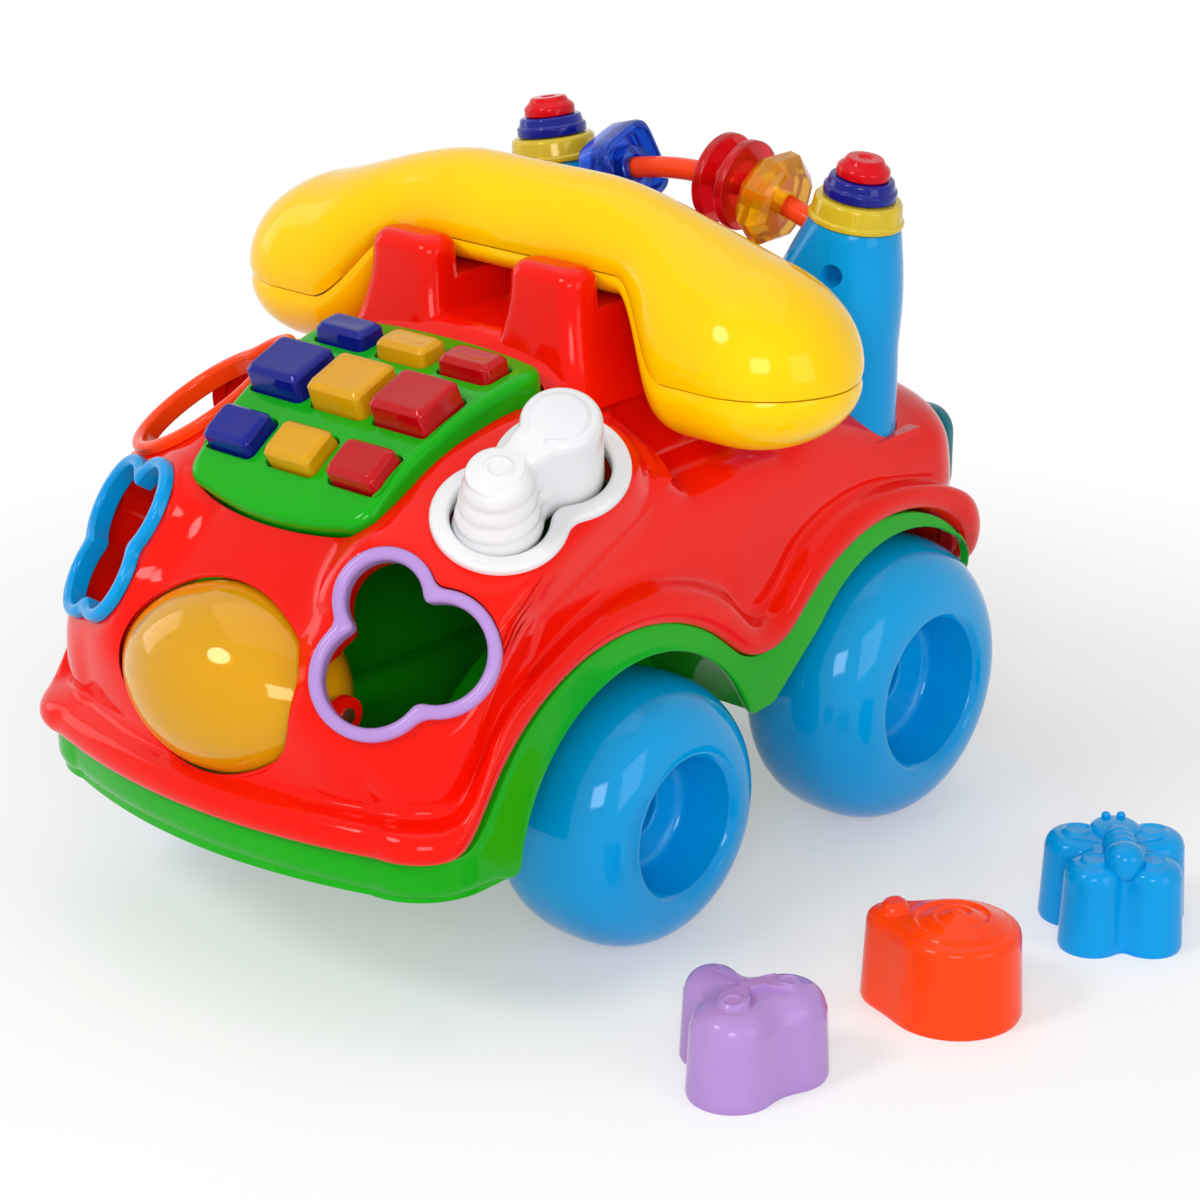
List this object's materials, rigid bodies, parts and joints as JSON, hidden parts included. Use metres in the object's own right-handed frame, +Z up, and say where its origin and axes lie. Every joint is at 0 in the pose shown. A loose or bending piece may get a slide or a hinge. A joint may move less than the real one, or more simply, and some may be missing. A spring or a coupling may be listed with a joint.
{
  "type": "toy telephone car",
  "caption": "Push-along toy telephone shaped like a car, with a lift-off handset, push keys, a nose roller, posting holes with shaped blocks, and beads on an arched rail.",
  "frame": {"origin": "on the floor, midway across the car, between the two axles", "axes": "+Z up, the nose and keypad face -Y, +X is the side towards the viewer of the picture"},
  "size_m": [0.3627, 0.3324, 0.2474],
  "materials": {
    "shell_red": "moulded gloss",
    "chassis_green": "moulded gloss",
    "keypad_green": "moulded gloss",
    "inner_grey": "moulded satin",
    "steel": "bright",
    "clear_navy": "translucent",
    "clear_amber": "translucent",
    "clear_red": "translucent",
    "sorter_blue": "moulded gloss",
    "sorter_lilac": "moulded gloss",
    "sorter_white": "moulded gloss",
    "sorter_orange": "moulded gloss",
    "handset_yellow": "moulded gloss",
    "post_blue": "moulded gloss",
    "clear_yellow": "translucent",
    "cap_red": "moulded gloss",
    "rail_orange": "moulded gloss",
    "wheel_blue": "soft gloss",
    "hatch_teal": "moulded gloss"
  },
  "bodies": {
    "car": {"upper_body": "shell_red", "lower_chassis": "chassis_green", "chassis_screws": "steel", "keypad_panel": "keypad_green", "key_return_plate": "inner_grey", "keypad_screws": "steel", "roller_pin": "steel", "frame_blue": "sorter_blue", "frame_lilac": "sorter_lilac", "frame_white": "sorter_white", "frame_orange": "sorter_orange", "post_left": "post_blue", "post_right": "post_blue", "post_screws": "steel", "post_collars": "clear_yellow", "post_rings": "clear_navy", "post_caps": "cap_red", "bead_rail": "rail_orange", "hatch_pin": "steel"},
    "roller": {"nose_roller": "clear_amber"},
    "handset": {"handset_upper": "handset_yellow", "handset_lower": "handset_yellow", "handset_screws": "steel"},
    "front_wheels": {"front_axle_rod": "steel", "front_wheel_left": "wheel_blue", "front_wheel_right": "wheel_blue"},
    "rear_wheels": {"rear_axle_rod": "steel", "rear_wheel_left": "wheel_blue", "rear_wheel_right": "wheel_blue"},
    "hatch": {"rear_hatch": "hatch_teal"},
    "key_top_left": {"key_top_left": "clear_navy"},
    "key_top_mid": {"key_top_mid": "clear_amber"},
    "key_top_right": {"key_top_right": "clear_red"},
    "key_mid_left": {"key_mid_left": "clear_navy"},
    "key_mid_mid": {"key_mid_mid": "clear_amber"},
    "key_mid_right": {"key_mid_right": "clear_red"},
    "key_low_left": {"key_low_left": "clear_navy"},
    "key_low_mid": {"key_low_mid": "clear_amber"},
    "key_low_right": {"key_low_right": "clear_red"},
    "bead_square": {"bead_square": "clear_navy"},
    "bead_spool": {"bead_spool": "clear_red"},
    "bead_octagon": {"bead_octagon": "clear_amber"},
    "block_white": {"block_white": "sorter_white"},
    "block_blue": {"block_blue": "sorter_blue"},
    "block_lilac": {"block_lilac": "sorter_lilac"},
    "block_orange": {"block_orange": "sorter_orange"}
  },
  "joints": [
    {"name": "roller_spin", "type": "hinge", "parent": "car", "child": "roller", "pos_m": [0, -0.17666, 0.10382], "axis": [1, 0, 0], "continuous": true},
    {"name": "front_wheel_spin", "type": "hinge", "parent": "car", "child": "front_wheels", "pos_m": [0, -0.076, 0.0475], "axis": [1, 0, 0], "continuous": true},
    {"name": "rear_wheel_spin", "type": "hinge", "parent": "car", "child": "rear_wheels", "pos_m": [0, 0.062, 0.053], "axis": [1, 0, 0], "continuous": true},
    {"name": "handset_lift", "type": "slide", "parent": "car", "child": "handset", "axis": [0, 0, 1], "range_m": [0, 0.08]},
    {"name": "hatch_swing", "type": "hinge", "parent": "car", "child": "hatch", "pos_m": [0, 0.1197, 0.0995], "axis": [-1, 0, 0], "range_deg": [0, 95]},
    {"name": "key_top_left_press", "type": "slide", "parent": "car", "child": "key_top_left", "axis": [0, 0.1736, -0.9848], "range_m": [0, 0.003], "stiffness_N_per_m": 150, "springref_m": -0.004},
    {"name": "key_top_mid_press", "type": "slide", "parent": "car", "child": "key_top_mid", "axis": [0, 0.1736, -0.9848], "range_m": [0, 0.003], "stiffness_N_per_m": 150, "springref_m": -0.004},
    {"name": "key_top_right_press", "type": "slide", "parent": "car", "child": "key_top_right", "axis": [0, 0.1736, -0.9848], "range_m": [0, 0.003], "stiffness_N_per_m": 150, "springref_m": -0.004},
    {"name": "key_mid_left_press", "type": "slide", "parent": "car", "child": "key_mid_left", "axis": [0, 0.3746, -0.9272], "range_m": [0, 0.003], "stiffness_N_per_m": 150, "springref_m": -0.004},
    {"name": "key_mid_mid_press", "type": "slide", "parent": "car", "child": "key_mid_mid", "axis": [0, 0.3746, -0.9272], "range_m": [0, 0.003], "stiffness_N_per_m": 150, "springref_m": -0.004},
    {"name": "key_mid_right_press", "type": "slide", "parent": "car", "child": "key_mid_right", "axis": [0, 0.3746, -0.9272], "range_m": [0, 0.003], "stiffness_N_per_m": 150, "springref_m": -0.004},
    {"name": "key_low_left_press", "type": "slide", "parent": "car", "child": "key_low_left", "axis": [0, 0.5664, -0.8241], "range_m": [0, 0.003], "stiffness_N_per_m": 150, "springref_m": -0.004},
    {"name": "key_low_mid_press", "type": "slide", "parent": "car", "child": "key_low_mid", "axis": [0, 0.5664, -0.8241], "range_m": [0, 0.003], "stiffness_N_per_m": 150, "springref_m": -0.004},
    {"name": "key_low_right_press", "type": "slide", "parent": "car", "child": "key_low_right", "axis": [0, 0.5664, -0.8241], "range_m": [0, 0.003], "stiffness_N_per_m": 150, "springref_m": -0.004},
    {"name": "bead_square_slide", "type": "hinge", "parent": "car", "child": "bead_square", "pos_m": [0, 0.058, 0.088], "axis": [0, 1, 0], "range_deg": [-1.2, 14.5]},
    {"name": "bead_spool_slide", "type": "hinge", "parent": "car", "child": "bead_spool", "pos_m": [0, 0.058, 0.088], "axis": [0, 1, 0], "range_deg": [-14.5, 1]},
    {"name": "bead_octagon_slide", "type": "hinge", "parent": "car", "child": "bead_octagon", "pos_m": [0, 0.058, 0.088], "axis": [0, 1, 0], "range_deg": [-1, 2.2]},
    {"name": "block_white_lift", "type": "slide", "parent": "car", "child": "block_white", "axis": [0.3746, -0.3771, 0.847], "range_m": [0, 0.06]},
    {"name": "block_blue_lift", "type": "slide", "parent": "car", "child": "block_blue", "axis": [0, 0, 1], "range_m": [0, 0.06]},
    {"name": "block_lilac_lift", "type": "slide", "parent": "car", "child": "block_lilac", "axis": [0, 0, 1], "range_m": [0, 0.06]},
    {"name": "block_orange_lift", "type": "slide", "parent": "car", "child": "block_orange", "axis": [0, 0, 1], "range_m": [0, 0.06]}
  ]
}
